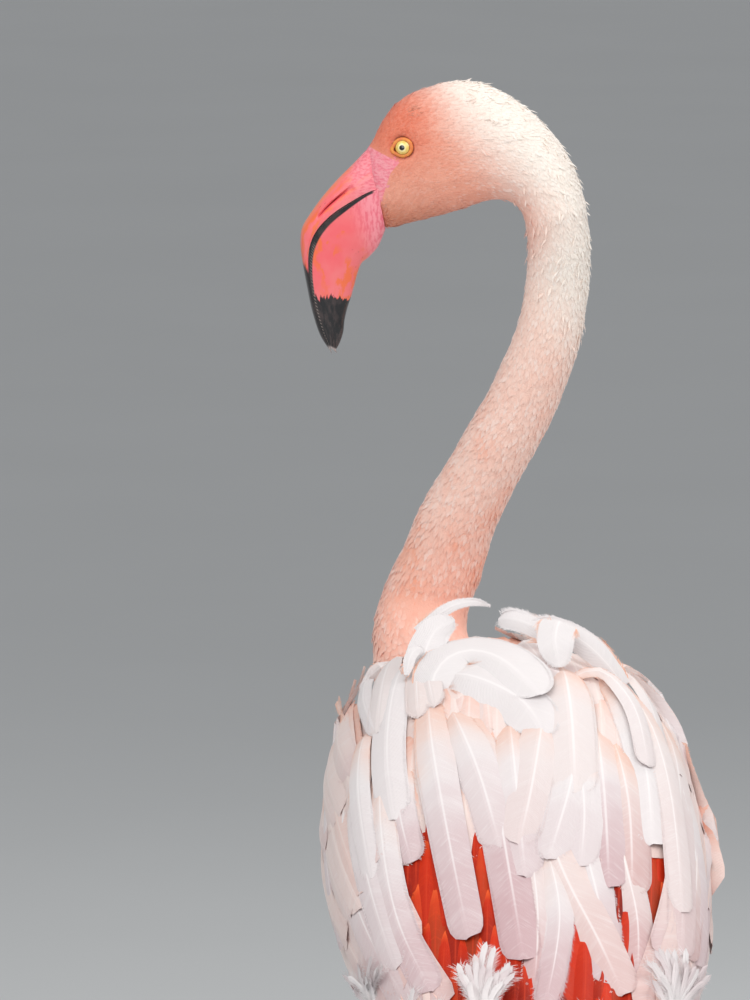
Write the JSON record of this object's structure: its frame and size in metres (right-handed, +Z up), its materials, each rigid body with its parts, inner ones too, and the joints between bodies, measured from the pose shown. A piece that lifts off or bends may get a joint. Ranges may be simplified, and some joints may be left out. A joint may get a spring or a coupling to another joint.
{
  "type": "greater flamingo, still life-size animal model",
  "caption": "Standing adult flamingo with raised S-shaped neck, head turned to its left, down-curved bill, folded wings with long drooping back feathers, and webbed feet.",
  "frame": {"origin": "on the floor between the feet, under the middle of the whole bird", "axes": "+Z up; +Y ahead, the way the breast faces (the trunk is turned 3.5 degrees to the bird's left of it); +X to the bird's right, so the bill points along -X"},
  "size_m": [0.2419, 0.5353, 1.184],
  "materials": {
    "pale_plumage": "soft matt contour feathers, cream on the crown, salmon on the forehead and cheeks",
    "white_plumes": "soft, slightly silky vanes, white above and blush pink towards the tips",
    "coral_coverts": "soft matt wing coverts, coral red",
    "black_quills": "stiff black flight feathers with a faint gloss",
    "leg_skin": "scaly pink skin, half matt",
    "upper_bill": "pink horn with orange clouds, black towards the tip",
    "lower_bill": "pink horn with orange clouds and fine grooves, black tip",
    "claw_horn": "dark horn",
    "eye_surface": "wet and clear over a pale yellow iris and a black pupil"
  },
  "bodies": {
    "root": {"trunk": "pale_plumage", "head": "pale_plumage", "neck_lower": "pale_plumage", "neck_middle": "pale_plumage", "neck_upper": "pale_plumage", "thigh_left": "pale_plumage", "thigh_right": "pale_plumage", "mantle": "white_plumes", "tertials_left": "white_plumes", "tertials_right": "white_plumes", "plume_left": "white_plumes", "plume_right": "white_plumes", "tail": "white_plumes", "wing_left": "coral_coverts", "wing_right": "coral_coverts", "rump": "coral_coverts", "primaries_left": "black_quills", "primaries_right": "black_quills", "shank_left": "leg_skin", "ankle_left": "leg_skin", "tarsus_left": "leg_skin", "foot_left": "leg_skin", "hind_toe_left": "leg_skin", "shank_right": "leg_skin", "ankle_right": "leg_skin", "tarsus_right": "leg_skin", "foot_right": "leg_skin", "hind_toe_right": "leg_skin", "bill_upper": "upper_bill", "bill_lower": "lower_bill", "claw_left_inner": "claw_horn", "claw_left_middle": "claw_horn", "claw_left_outer": "claw_horn", "claw_left_hind": "claw_horn", "claw_right_inner": "claw_horn", "claw_right_middle": "claw_horn", "claw_right_outer": "claw_horn", "claw_right_hind": "claw_horn", "eye_left": "eye_surface", "eye_right": "eye_surface"}
  },
  "joints": []
}
